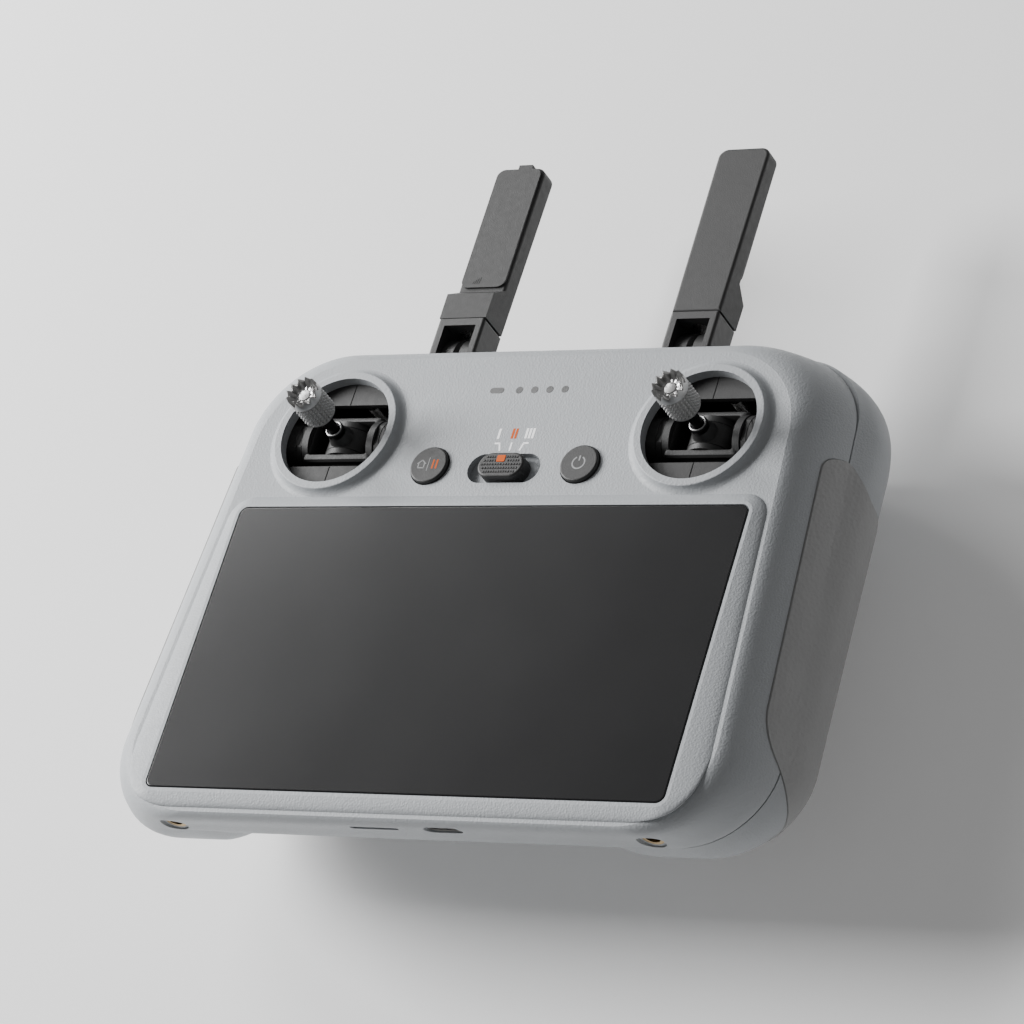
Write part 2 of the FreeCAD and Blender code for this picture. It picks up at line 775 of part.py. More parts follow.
def make_mode_switch():
    knob = stadium("switch_knob", "switch_height - 1.1", 4.2, (0, "switch_y", -3.9))
    knob = rounded(knob, 0.6, lambda edge: edge.BoundBox.ZMin > 0.29)
    slider = box("switch_knob + 9.2", "switch_height + 3", 0.7, (0, "switch_y", -3.9))
    node("mode_switch_knob", fuse(knob, slider))
    node("mode_switch_body", tile(15.0, 6.6, 1.5, (0, "switch_y", -5.7), 0.8))


def make_lights():
    node("status_light_guides", group(*light_holes(-0.02, -4.6, -1.36)))


# ---------------------------------------------------------------- stick gimbals


def gimbal(s, x=0.0, y=0.0, z=0.0):
    """A point given from a stick's gimbal centre."""
    return (f"{s} * stick_x + {x}", f"stick_y + {y}", f"-gimbal_depth + {z}")


def make_gimbal_cup(name, s):
    """The fixed housing: a cup with two D-shaped covers, and drum-shaped cheeks that hold the cradle's axle."""
    depth = 15.6
    can = rod("cup_radius", f"{depth} - cup_top", (f"{s} * stick_x", "stick_y", -depth))
    room = rod("cup_radius - 1.1", f"{depth} - 1 - cup_top - 1.3", (f"{s} * stick_x", "stick_y", 1.0 - depth))
    channel = box("2 * cup_radius - 2.2", "2 * channel_half", 20.0, gimbal(s, 0, 0, 0.0))
    cheeks = [
        common(
            rod("cradle_radius - 0.2", 5.0, gimbal(s, "cradle_half + 0.3" if t > 0 else "(-cradle_half) - 5.3"), "x"),
            rod("cup_radius - 0.3", 12.6, (f"{s} * stick_x", "stick_y", -15.0)),
        )
        for t in (-1, 1)
    ]
    bore = rod("axle_radius + 0.05", "2 * cradle_half + 7.4", gimbal(s, "(-cradle_half) - 3.7"), "x")
    node(f"gimbal_housing_{name}", cut(fuse(cut(can, room, channel), *cheeks), bore))


def make_cradle(name, s):
    """The outer gimbal: a half drum about X, with the window that the stick's own drum turns in."""
    drum = rod("cradle_radius", "2 * cradle_half", gimbal(s, "-cradle_half"), "x")
    window = box("2 * window_half_x", "2 * window_half_y", 20.0, gimbal(s, 0, 0, -10.0))
    under = box("2 * cradle_half + 2", 16.0, 6.0, gimbal(s, 0, 0, -9.0))
    axle = rod("axle_radius", "2 * cradle_half + 6.8", gimbal(s, "(-cradle_half) - 3.4"), "x")
    bore = rod(1.05, 16.0, gimbal(s, 0, -8.0), "y")
    node(f"gimbal_cradle_{name}", cut(fuse(drum, axle), window, under, bore))


def make_stick(name, s):
    """The stick: its drum about Y with a hub, the shaft and the knurled head."""
    drum = rod("drum_radius", "2 * drum_half", gimbal(s, 0, "(-drum_half)"), "y")
    under = box(14.0, 12.0, 6.0, gimbal(s, 0, 0, -8.6))
    axle = rod(1.0, 11.6, gimbal(s, 0, -5.8), "y")
    hub = cone(2.9, 1.9, 3.0, gimbal(s, 0, 0, 4.8))
    socket = rod(1.3, 12.0, gimbal(s, 0, 0, 2.0))
    node(f"stick_hub_{name}", cut(fuse(cut(drum, under), axle, hub), socket))
    shaft = rod(1.3, "head_bottom + gimbal_depth - 2 + 4", gimbal(s, 0, 0, 2.0))
    collar = rod(1.95, 0.5, gimbal(s, 0, 0, 7.8))
    node(f"stick_shaft_{name}", fuse(shaft, collar))
    node(f"stick_head_{name}", stick_head(s))


def crown_notch():
    """A bar right across the stick's crown that widens upwards: it leaves two gaps between the teeth."""
    across = {"Ymin": 0, "Ymax": 1.5, "Zmin": -5, "Zmax": 5, "Z2min": -5, "Z2max": 5}
    notch = fresh("Part::Wedge", Xmin=-0.05, Xmax=0.05, X2min=-0.75, X2max=0.75, **across)
    return moved(notch, turn=Rotation(Vector(1, 0, 0), 90))


def stick_head(s):
    """A turned head with a waist chamfer, a hollow crown and ten teeth."""
    x = f"{s} * stick_x"
    barrel = rod("head_radius", "head_length - 0.8", (x, "stick_y", "head_bottom + 0.8"))
    skirt = cone("head_radius - 0.8", "head_radius", 0.8, (x, "stick_y", "head_bottom"))
    dish = cone(1.5, "head_radius - 0.9", 1.7, (x, "stick_y", "head_bottom + head_length - 1.69"))
    tools = [dish, rod(1.3, 4.0, (x, "stick_y", "head_bottom"))]
    crown = (x, "stick_y", "head_bottom + head_length - 1.49")
    for n in range(5):
        tools.append(moved(crown_notch(), at=crown, turn=Rotation(Vector(0, 0, 1), 36.0 * n)))
    return cut(fuse(barrel, skirt), *tools)


def make_gimbal_insides():
    """The return springs and the sensor board of each gimbal."""
    coils = []
    boards = []
    for s in SIDES.values():
        for t in (-1, 1):
            at = (f"{s} * stick_x + {3.0 * t}", f"stick_y + {10.6 * t}")
            coils += [fresh("Part::Torus", Radius1=1.3, Radius2=0.24, at=(*at, -13.5 + 0.46 * n)) for n in range(16)]
        boards.append(rod(6.0, 0.7, (f"{s} * (stick_x + 5)", "stick_y", -16.35)))
    springs = [fuse(*coils[start : start + 16]) for start in range(0, len(coils), 16)]
    node("gimbal_springs", group(*springs))
    node("gimbal_sensor_boards", group(*boards))


# ---------------------------------------------------------------- antennas


def antenna(s, x=0.0):
    return f"{s} * antenna_x + {x}"


def make_hinge_bracket(name, s):
    """Two round tongues on a foot inside the casing: the fixed half of an antenna's hinge."""
    arms = []
    for t in (-1, 1):
        middle = f"{t} * (tongue_gap + tongue_width) / 2"
        start = antenna(s, f"{middle} - tongue_width / 2")
        disc = rod("tongue_radius", "tongue_width", (start, "pin_y", "-pin_depth"), "x")
        front = box(20.0, 20.0, 12.0, (antenna(s), "pin_y", "-pin_depth - 2.2"))
        stalk = box("tongue_width", "13.3", 2.5, (antenna(s, middle), "pin_y - 6.65", -14.2))
        arms += [common(disc, front), stalk]
    foot = box("2 * tongue_width + tongue_gap", 6.0, 2.5, (antenna(s), "pin_y - 13.3", -14.2))
    bore = pin_rod("pin_radius", 8.0, name)
    node(f"hinge_bracket_{name}", cut(fuse(*arms, foot), bore))


def make_knuckle(name, s):
    """The folding half of the hinge: two cheeks round the tongues, and the bridge that the antenna swivels on."""
    barrel = pin_rod("knuckle_radius", "antenna_width / 2", name)
    back = "-antenna_front - antenna_thick"
    block = box("antenna_width", "seam_y - pin_y", "antenna_thick", (antenna(s), "(seam_y + pin_y) / 2", back))
    reach = box(20.0, 30.0, "antenna_thick", (antenna(s), "pin_y", back))
    body = common(fuse(barrel, block), reach)
    flank = size("antenna_width") / 2
    middle = s * size("antenna_x")

    def on_flank(edge):
        off = abs(edge.BoundBox.XMin - middle)
        return edge.BoundBox.XLength < 1e-4 and abs(off - flank) < 1e-3

    body = rounded(body, 0.7, on_flank)
    ears = pin_rod(2.4, "antenna_width / 2", name)
    opening = (antenna(s), "seam_y - 1.8 - 7.7", -30.0)
    window = box("2 * (tongue_gap / 2 + tongue_width + cheek_gap)", 15.4, 24.0, opening)
    bore = pin_rod("pin_radius + 0.05", 8.0, name)
    swivel = rod(2.0, 6.0, (antenna(s), "seam_y - 3", SWIVEL_Z), "y")
    node(f"antenna_knuckle_{name}", cut(fuse(body, ears), window, bore, swivel))
    node(f"antenna_swivel_pin_{name}", rod(2.0, 5.8, (antenna(s), "seam_y - 1.8", SWIVEL_Z), "y"))


SWIVEL_Z = "-antenna_front - antenna_thick / 2"


def is_rim(edge, low, ramp, tip):
    """Whether an edge runs round one of the blade's broad faces."""
    box = edge.BoundBox
    across = box.YLength < 1e-4 and box.YMax < tip - 1
    return box.ZLength < 1e-4 and box.YMax > ramp + 1 and box.YMax > low and not across


def antenna_blade():
    """An antenna's swivelling arm, centred on its swivel axis at the origin, blade towards +Z."""
    foot = size("seam_y") + 0.2
    tip = size("antenna_tip")
    half = size("antenna_width") / 2
    spread = size("tip_width") / 2
    front = size("antenna_thick") / 2
    back = front - size("blade_thick")
    shelf = foot + size("base_height")
    ramp = shelf + size("base_ramp")
    side_line = [(foot, -front), (foot, front), (tip, front), (tip, back), (ramp, back), (shelf, -front)]
    side_face = Part.makePolygon([Vector(-20, y, z) for y, z in side_line + side_line[:1]])
    slab = Part.Face(side_face).extrude(Vector(40, 0, 0))
    plan = [Vector(-half, foot, -20), Vector(half, foot, -20), Vector(spread, tip, -20), Vector(-spread, tip, -20)]
    wire = rounded_wire(plan, [0.01, 0.01, 2.4, 2.4])
    arm = solid(Part.Face(wire).extrude(Vector(0, 0, 40)).common(slab))
    arm = rounded(arm, 0.7, lambda edge: is_rim(edge, foot + 1, ramp, tip))
    bore = rod(2.05, 5.0, (0, "seam_y", 0), "y")
    return cut(arm, bore)


def antenna_cover():
    """The flat lid on the blade's other side, with the tab that closes it at the tip."""
    under = "antenna_thick / 2 - blade_thick - 0.5"
    low = size("seam_y") + size("base_height") + size("base_ramp") + 1.2
    long_side = size("antenna_tip") - 0.6 - low
    lid = tile("antenna_width - 0.6", long_side, 0.5, (0, low + long_side / 2, under), 2.0)
    tab = box(3.6, 1.6, 1.4, (-1.2, "antenna_tip + tab_proud - 0.8", under))
    return fuse(lid, cut(tab, box(6.0, 4.0, 4.0, (-1.2, "antenna_tip - 2", "antenna_thick / 2 - blade_thick"))))


def make_antenna(name, s):
    """An antenna as it stands: the left one is swivelled half a turn, so its lid faces the front."""
    turn = Rotation(Vector(0, 1, 0), 180 if s < 0 else 0)
    at = (antenna(s), 0, SWIVEL_Z)
    node(f"antenna_blade_{name}", group(moved(antenna_blade(), at=at, turn=turn)))
    node(f"antenna_cover_{name}", group(moved(antenna_cover(), at=at, turn=turn)))


def make_hinge_pins():
    node("hinge_pins", group(*[pin_rod("pin_radius", "antenna_width / 2 - 0.3", name) for name in SIDES]))


# ---------------------------------------------------------------- shoulder and rear controls


def make_dial(name, s):
    """A ribbed wheel that stands out of the shoulder, turned about Z."""
    at = (f"{s} * dial_x", "dial_y", "-dial_depth - dial_thick / 2")
    wheel = rod("dial_radius", "dial_thick", at)
    wheel = rounded(wheel, 0.5, lambda edge: edge.Length > 20 and edge.BoundBox.ZLength < 1e-3)
    tools = [rod(1.55, 8.0, (at[0], at[1], "-dial_depth - 4"))]
    for n in range(36):
        angle = 2 * math.pi * n / 36
        x = joined(at[0], f"dial_radius * {math.cos(angle):.5f}")
        y = joined(at[1], f"dial_radius * {math.sin(angle):.5f}")
        tools.append(rod(0.42, 8.0, (x, y, "-dial_depth - 4")))
    node(f"dial_{name}", cut(wheel, *tools))


def make_dial_axles():
    """The fixed axle of each dial, on its encoder plate."""
    axles = []
    for s in SIDES.values():
        axle = rod(1.5, 5.6, (f"{s} * dial_x", "dial_y", "-dial_depth - 3.2"))
        plate = tile(8.0, 8.0, 1.0, (f"{s} * dial_x", 71.2, "-dial_depth - 3.6"), 1.0)
        axles.append(fuse(axle, plate))
    node("dial_axles", group(*axles))


def make_triggers():
    """The two shoulder buttons, which press along the slope's normal."""
    for name, s in (("record_button", -1), ("shutter_button", 1)):
        cap = stadium(10.0, 5.4, 5.8, (0, 0, -4.6))
        cap = rounded(cap, 0.7, lambda edge: edge.BoundBox.ZMin > 1.19)
        flange = stadium(12.0, 7.4, 0.8, (0, 0, -4.6))
        node(name, group(on_shoulder(fuse(cap, flange), s)))


def make_custom_buttons():
    for name, s in SIDES.items():
        x = f"{s} * custom_x"
        cap = rod("custom_radius", 3.3, (x, "custom_y", "-plate_depth - 0.8"))
        cap = rounded(cap, 0.45, lambda edge: edge.BoundBox.ZMax < -16.9)
        node(f"custom_button_{name}", fuse(cap, rod("custom_radius + 0.8", 0.6, (x, "custom_y", "-plate_depth + 1.9"))))


# ---------------------------------------------------------------- ports, inserts and screws


def make_ports():
    shell = slot_across(8.9, 3.2, "usb_x", -40.1, 5.6)
    mouth = slot_across(8.3, 2.6, "usb_x", -40.4, 5.0)
    tongue = box(6.6, 3.9, 0.7, ("usb_x", -36.85, "-port_depth - 0.35"))
    node("charging_socket", fuse(cut(shell, mouth), tongue))
    case = box(13.0, 4.5, 2.0, ("card_x", -36.75, "-port_depth - 1"))
    node("card_socket", cut(case, box(11.4, 4.1, 0.9, ("card_x", -37.15, "-port_depth - 0.45"))))


def make_inserts():
    """Threaded brass inserts for a lanyard bracket, one each side of the lower edge."""
    tubes = []
    for s in SIDES.values():
        x = f"{s} * insert_x"
        tube = rod("insert_radius", "insert_length", (x, "-insert_face", "-insert_depth"), "y")
        tubes.append(cut(tube, rod("thread_radius", 8.0, (x, "-insert_face - 1", "-insert_depth"), "y")))
    node("lanyard_inserts", group(*tubes))


def make_screws():
    screws = []
    for x, y in screw_places():
        head = rod(1.9, 0.8, (x, y, "-plate_depth + 0.1"))
        shank = rod("screw_radius", 5.6, (x, y, "-plate_depth + 0.9"))
        socket = fresh("Part::Prism", Polygon=6, Circumradius=0.95, Height=0.5, at=(x, y, "-plate_depth + 0.09"))
        screws.append(cut(fuse(head, shank), socket))
    node("case_screws", group(*screws))


# ---------------------------------------------------------------- build, check and write


def make_all():
    make_front_shell()
    make_rear_shell()
    make_grip_pads()
    make_screen()
    make_mid_frame()
    make_boards()
    make_cooling()
    make_speaker()
    make_cells()
    make_face_buttons()
    make_mode_switch()
    make_lights()
    for name, s in SIDES.items():
        make_gimbal_cup(name, s)
        make_cradle(name, s)
        make_stick(name, s)
        make_hinge_bracket(name, s)
        make_knuckle(name, s)
        make_antenna(name, s)
        make_dial(name, s)
    make_gimbal_insides()
    make_hinge_pins()
    make_dial_axles()
    make_triggers()
    make_custom_buttons()
    make_ports()
    make_inserts()
    make_screws()


def settle():
    """Recomputes, carries every node to the row frame, and stops on anything that failed."""
    doc.recompute()
    for thing in NODES.values():
        bind(thing, "Placement.Base.y", "-(antenna_tip + tab_proud - bottom_edge) / 2")
        bind(thing, "Placement.Base.z", "grip_depth")
    doc.recompute()
    failed = [thing.Name for thing in doc.Objects if {"Invalid", "Error"} & set(thing.State)]
    bad = [name for name, thing in NODES.items() if thing.Shape.isNull() or not thing.Shape.isValid()]
    if failed or bad:
        raise RuntimeError(f"failed objects {failed}, bad shapes {bad}")


def write_parts():
    os.makedirs("parts", exist_ok=True)
    for name, thing in NODES.items():
        thing.Shape.exportStep(f"parts/{name}.step")
        print(f"{name:26s} solids {len(thing.Shape.Solids)}  volume {thing.Shape.Volume:10.2f}")
    print(len(NODES), "nodes")


make_all()
settle()
write_parts()
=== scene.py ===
"""Looks for the radio transmitter: materials, refined meshes, light and camera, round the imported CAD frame."""

import json
import math

import bmesh
import bpy
from mathutils import Matrix, Vector


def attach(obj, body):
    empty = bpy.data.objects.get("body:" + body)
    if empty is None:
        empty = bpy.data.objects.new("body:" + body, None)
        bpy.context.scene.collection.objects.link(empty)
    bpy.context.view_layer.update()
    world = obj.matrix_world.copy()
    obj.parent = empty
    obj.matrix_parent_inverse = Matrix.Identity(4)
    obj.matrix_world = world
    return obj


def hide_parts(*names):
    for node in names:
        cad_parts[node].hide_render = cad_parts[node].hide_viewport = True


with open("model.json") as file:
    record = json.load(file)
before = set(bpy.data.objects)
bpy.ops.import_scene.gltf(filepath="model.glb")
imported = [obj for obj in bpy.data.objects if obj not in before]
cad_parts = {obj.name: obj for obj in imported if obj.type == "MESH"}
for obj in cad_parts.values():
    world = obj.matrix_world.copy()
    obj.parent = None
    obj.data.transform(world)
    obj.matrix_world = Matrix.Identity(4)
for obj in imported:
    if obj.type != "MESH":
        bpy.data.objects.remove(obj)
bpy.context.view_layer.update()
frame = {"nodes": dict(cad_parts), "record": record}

MM = 0.001
SIDES = {"left": -1, "right": 1}
# where the touch glass's centre lies in the row frame, and the stick's place from there
GLASS = Vector((0.0, -47.25, 46.2))
STICK_X = 46.1
STICK_Y = 55.2


def at(x, y, z=0.0):
    """A point given from the glass's centre in millimetres, in the row frame in metres."""
    return (Vector((x, y, z)) + GLASS) * MM


# ---------------------------------------------------------------- materials


class Nodes:
    """A material's node tree, with short ways to add to it."""

    def __init__(self, name):
        self.material = bpy.data.materials.new(name)
        self.material.use_nodes = True
        self.tree = self.material.node_tree
        self.shader = self.tree.nodes["Principled BSDF"]
        self.where = self.add("ShaderNodeTexCoord").outputs["Object"]

    def add(self, kind, **settings):
        node = self.tree.nodes.new(kind)
        for key, value in settings.items():
            setattr(node, key, value)
        return node

    def link(self, source, target):
        self.tree.links.new(source, target)

    def noise(self, scale, detail=3.0, roughness=0.55, stretch=None):
        """A noise value over the object; scale is in features per metre."""
        node = self.add("ShaderNodeTexNoise")
        node.inputs["Scale"].default_value = scale
        node.inputs["Detail"].default_value = detail
        node.inputs["Roughness"].default_value = roughness
        self.link(self.stretched(stretch), node.inputs["Vector"])
        return node.outputs["Fac"]

    def cells(self, scale, stretch=None, randomness=1.0):
        """A Voronoi distance over the object, for pebbled grain."""
        node = self.add("ShaderNodeTexVoronoi", feature="SMOOTH_F1")
        node.inputs["Scale"].default_value = scale
        node.inputs["Smoothness"].default_value = 0.35
        node.inputs["Randomness"].default_value = randomness
        self.link(self.stretched(stretch), node.inputs["Vector"])
        return node.outputs["Distance"]

    def stretched(self, stretch):
        if not stretch:
            return self.where
        mapping = self.add("ShaderNodeMapping")
        mapping.inputs["Scale"].default_value = stretch
        self.link(self.where, mapping.inputs["Vector"])
        return mapping.outputs["Vector"]

    def ramp(self, value, low, high, out_low, out_high):
        node = self.add("ShaderNodeMapRange")
        for key, number in zip(("From Min", "From Max", "To Min", "To Max"), (low, high, out_low, out_high)):
            node.inputs[key].default_value = number
        self.link(value, node.inputs["Value"])
        return node.outputs["Result"]

    def blend(self, value, first, second):
        node = self.add("ShaderNodeMix", data_type="RGBA")
        node.inputs["A"].default_value = (*first, 1)
        node.inputs["B"].default_value = (*second, 1)
        self.link(value, node.inputs["Factor"])
        return node.outputs["Result"]

    def bump(self, value, depth_mm, strength=1.0):
        node = self.add("ShaderNodeBump")
        node.inputs["Strength"].default_value = strength
        node.inputs["Distance"].default_value = depth_mm * MM
        self.link(value, node.inputs["Height"])
        previous = self.shader.inputs["Normal"].links
        if previous:
            self.link(previous[0].from_socket, node.inputs["Normal"])
        self.link(node.outputs["Normal"], self.shader.inputs["Normal"])

    def colour(self, output):
        self.link(output, self.shader.inputs["Base Color"])

    def roughness(self, output):
        self.link(output, self.shader.inputs["Roughness"])

    def fixed(self, **values):
        for key, value in values.items():
            self.shader.inputs[key.replace("_", " ")].default_value = value


def shade(level, warm=0.0):
    """A near-neutral grey as a linear colour."""
    return (level * (1 + warm), level, level * (1 - warm))


def moulded(
    name, level, roughness=0.55, grain_mm=0.45, grain_depth=0.02, mottle=0.06, warm=0.0, tint=None, specular=0.45
):
    """Injection-moulded plastic with a fine spark-eroded grain."""
    n = Nodes(name)
    base = tint or shade(level, warm)
    darker = tuple(c * (1 - mottle) for c in base)
    lighter = tuple(c * (1 + mottle) for c in base)
    n.colour(n.blend(n.noise(90, 4), darker, lighter))
    n.roughness(n.ramp(n.noise(700, 3), 0.3, 0.7, roughness - 0.05, roughness + 0.06))
    n.fixed(Specular_IOR_Level=specular)
    if grain_depth:
        n.bump(n.cells(1000 / grain_mm), grain_depth * 1.4)
        n.bump(n.noise(1000 / grain_mm * 1.6, 2), grain_depth)
    return n.material


def metal(name, colour, roughness, stretch=None, scale=2500, depth=0.004):
    """A metal with fine turning or rolling marks."""
    n = Nodes(name)
    n.fixed(Metallic=1.0)
    marks = n.noise(scale, 3, 0.6, stretch)
    n.colour(n.blend(marks, tuple(c * 0.86 for c in colour), tuple(min(1, c * 1.08) for c in colour)))
    n.roughness(n.ramp(marks, 0.3, 0.7, roughness - 0.05, roughness + 0.08))
    n.bump(marks, depth)
    return n.material


def rubber(name, level):
    """Soft dark rubber with a leather-like pebble grain."""
    n = Nodes(name)
    pebbles = n.cells(1050)
    n.colour(n.blend(n.noise(60, 4), shade(level * 0.92), shade(level * 1.08)))
    n.roughness(n.ramp(pebbles, 0.1, 0.6, 0.68, 0.56))
    n.fixed(Specular_IOR_Level=0.35)
    n.bump(pebbles, 0.09)
    n.bump(n.noise(3200, 3), 0.03)
    return n.material


def touch_glass(name):
    """Black glass whose coating gives a soft, broad sheen, with the faintest smear."""
    n = Nodes(name)
    n.colour(n.blend(n.noise(16, 2), (0.0052, 0.0052, 0.0058), (0.0065, 0.0065, 0.0072)))
    n.roughness(n.ramp(n.noise(24, 5), 0.2, 0.8, 0.205, 0.23))
    n.fixed(Specular_IOR_Level=0.5)
    return n.material


def circuit_board(name):
    n = Nodes(name)
    n.colour(n.blend(n.ramp(n.noise(420, 2), 0.5, 0.53, 0.0, 1.0), (0.012, 0.07, 0.035), (0.02, 0.11, 0.05)))
    n.fixed(Roughness=0.35)
    n.bump(n.noise(420, 2), 0.01)
    return n.material


MATERIALS = {
    "housing": lambda k: moulded(k, 0.40, 0.53, 0.5, 0.034, 0.035, warm=-0.04, specular=0.42),
    "grip_rubber": lambda k: rubber(k, 0.33),
    "screen_glass": touch_glass,
    "black_foam": lambda k: moulded(k, 0.012, 0.9, 0.3, 0.02),
    "display_back": lambda k: moulded(k, 0.05, 0.4, 0.5, 0.005),
    "cast_frame": lambda k: metal(k, (0.5, 0.5, 0.51), 0.5, None, 900, 0.02),
    "circuit_board": circuit_board,
    "tinned_steel": lambda k: metal(k, (0.62, 0.61, 0.6), 0.32, (1, 8, 1)),
    "bare_aluminium": lambda k: metal(k, (0.68, 0.68, 0.69), 0.38, (8, 1, 1)),
    "black_plastic": lambda k: moulded(k, 0.014, 0.55, 0.35, 0.01),
    "cell_wrap": lambda k: moulded(k, 0.1, 0.35, 0.6, 0.0, 0.04, tint=(0.04, 0.14, 0.28)),
    "button_plastic": lambda k: moulded(k, 0.026, 0.5, 0.28, 0.014, 0.05),
    "light_guide": lambda k: moulded(k, 0.10, 0.3, 0.5, 0.0, 0.03),
    "spring_steel": lambda k: metal(k, (0.62, 0.61, 0.6), 0.25, (1, 1, 9)),
    "trigger_plastic": lambda k: moulded(k, 0.075, 0.42, 0.35, 0.012, 0.05),
    "brass_insert": lambda k: metal(k, (0.42, 0.31, 0.17), 0.34, (1, 9, 1)),
    "screw_steel": lambda k: metal(k, (0.08, 0.08, 0.085), 0.4, None, 3000, 0.006),
    "well_plastic": lambda k: moulded(k, 0.019, 0.55, 0.3, 0.013, 0.06),
    "cradle_plastic": lambda k: moulded(k, 0.026, 0.48, 0.3, 0.012, 0.06),
    "black_shaft": lambda k: metal(k, (0.03, 0.03, 0.032), 0.32, (1, 1, 9)),
    "knurled_aluminium": lambda k: metal(k, (0.42, 0.418, 0.415), 0.33, (6, 6, 1), 3000, 0.004),
    "hinge_plastic": lambda k: moulded(k, 0.025, 0.44, 0.35, 0.01, 0.05),
    "antenna_plastic": lambda k: moulded(k, 0.038, 0.54, 0.3, 0.016, 0.05, specular=0.38),
    "dial_metal": lambda k: metal(k, (0.09, 0.09, 0.094), 0.42, (1, 1, 6)),
}

made = {}


def finish_of(name):
    """The material for a slot of the record."""
    if name not in made:
        made[name] = MATERIALS[name](name)
    return made[name]


def dress_nodes():
    """Gives every CAD node the material of its slot."""
    for row in frame["record"]["subparts"]:
        node = frame["nodes"][row["node"]]
        material = finish_of(row["material_slot"])
        if not node.data.materials:
            node.data.materials.append(material)
        for place in node.material_slots:
            place.material = material


# ---------------------------------------------------------------- mesh helpers


def piece(name, bm, body, slot, material=None, smooth=40.0, lift=None):
    """Turns a bmesh into a finished piece that rides on a body; lift is where its origin stands."""
    mesh = bpy.data.meshes.new(name)
    bmesh.ops.recalc_face_normals(bm, faces=bm.faces)
    bm.to_mesh(mesh)
    bm.free()
    mesh.shade_smooth()
    mesh.set_sharp_from_angle(angle=math.radians(smooth))
    mesh.materials.append(material or finish_of(slot))
    thing = bpy.data.objects.new(name, mesh)
    bpy.context.collection.objects.link(thing)
    thing.location = lift or (0, 0, 0)
    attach(thing, body)
    return thing


def revolve(bm, rows, around, closed_ends=True):
    """A skin about Z through rows, each a function of the angle that gives (radius, height) in millimetres."""
    rings = []
    for row in rows:
        ring = []
        for n in range(around):
            angle = 2 * math.pi * n / around
            radius, height = row(angle)
            place = Vector((radius * math.cos(angle), radius * math.sin(angle), height))
            ring.append(bm.verts.new(place * MM))
        rings.append(ring)
    for low, high in zip(rings, rings[1:]):
        for n in range(around):
            m = (n + 1) % around
            bm.faces.new((low[n], low[m], high[m], high[n]))
    if closed_ends:
        bm.faces.new(rings[0][::-1])
        bm.faces.new(rings[-1])


def prism(bm, points, low, high, bevel=0.0):
    """An upright slab over 2-D points in millimetres, its top edge bevelled."""
    middle = Vector((sum(p[0] for p in points) / len(points), sum(p[1] for p in points) / len(points)))
    levels = [(low, 0.0), (high - bevel, 0.0), (high, bevel)] if bevel else [(low, 0.0), (high, 0.0)]
    rings = []
    for height, inset in levels:
        ring = []
        for p in points:
            flat = Vector(p) - middle
            pulled = flat * max(0.0, 1 - inset / max(flat.length, 1e-6)) + middle
            ring.append(bm.verts.new(Vector((pulled.x, pulled.y, height)) * MM))
        rings.append(ring)
    for first, second in zip(rings, rings[1:]):
        for n in range(len(points)):
            m = (n + 1) % len(points)
            bm.faces.new((first[n], first[m], second[m], second[n]))
    bm.faces.new(rings[0][::-1])
    bm.faces.new(rings[-1])


def rounded_bar(length, width, round_mm, corner_steps=5, centre=(0.0, 0.0), turn=0.0):
    """The outline of a bar with rounded corners."""
    points = []
    for quarter, (sx, sy) in enumerate(((1, 1), (-1, 1), (-1, -1), (1, -1))):
        for step in range(corner_steps + 1):
            angle = math.radians(90 * (quarter + step / corner_steps))
            x = sx * (length / 2 - round_mm) + round_mm * math.cos(angle)
            y = sy * (width / 2 - round_mm) + round_mm * math.sin(angle)
            points.append((x, y))
    cos, sin = math.cos(math.radians(turn)), math.sin(math.radians(turn))
    return [(x * cos - y * sin + centre[0], x * sin + y * cos + centre[1]) for x, y in points]


def stroke(start, end, width):
    """The outline of a straight stroke with square ends."""
    a, b = Vector(start), Vector(end)
    side = (b - a).normalized().orthogonal() * width / 2
    return [tuple(a + side), tuple(a - side), tuple(b - side), tuple(b + side)]


def arc_stroke(radius, width, first, last, centre=(0.0, 0.0), steps=28):
    """The outline pieces of a stroke that follows an arc, angles in degrees."""
    shapes = []
    for n in range(steps):
        a, b = (math.radians(first + (last - first) * (n + k) / steps) for k in (0, 1))
        quad = [(radius + t * width / 2, angle) for t, angle in ((1, a), (-1, a), (-1, b), (1, b))]
        shapes.append([(centre[0] + r * math.cos(t), centre[1] + r * math.sin(t)) for r, t in quad])
    return shapes


def tube(bm, points, radius, sides=8):
    """A round tube through points in metres."""
    points = [Vector(p) for p in points]
    rings = []
    for n, point in enumerate(points):
        ahead = points[min(n + 1, len(points) - 1)] - points[max(n - 1, 0)]
        if n == 0:
            u = ahead.orthogonal().normalized()
        else:
            u = (u - ahead * u.dot(ahead) / ahead.length_squared).normalized()
        v = ahead.normalized().cross(u)
        ring = []
        for k in range(sides):
            angle = 2 * math.pi * k / sides
            ring.append(bm.verts.new(point + (u * math.cos(angle) + v * math.sin(angle)) * radius))
        rings.append(ring)
    for low, high in zip(rings, rings[1:]):
        for k in range(sides):
            m = (k + 1) % sides
            bm.faces.new((low[k], low[m], high[m], high[k]))
    bm.faces.new(rings[0][::-1])
    bm.faces.new(rings[-1])


# ---------------------------------------------------------------- inks for the small marks


def ink(name, colour, roughness=0.45, specular=0.5, glow=0.0):
    """Printed ink: slightly uneven in shade and a little glossier than the plastic under it. Its glow is an
    emission, painted light that makes the ink brighter than the lamps alone make it.
    """
    n = Nodes(name)
    darker = tuple(c * 0.9 for c in colour)
    n.colour(n.blend(n.noise(1800, 2), darker, colour))
    n.roughness(n.ramp(n.noise(2400, 2), 0.3, 0.7, roughness - 0.05, roughness + 0.05))
    n.fixed(Specular_IOR_Level=specular, Emission_Color=(*colour, 1), Emission_Strength=glow)
    n.bump(n.noise(4000, 2), 0.003)
    return n.material
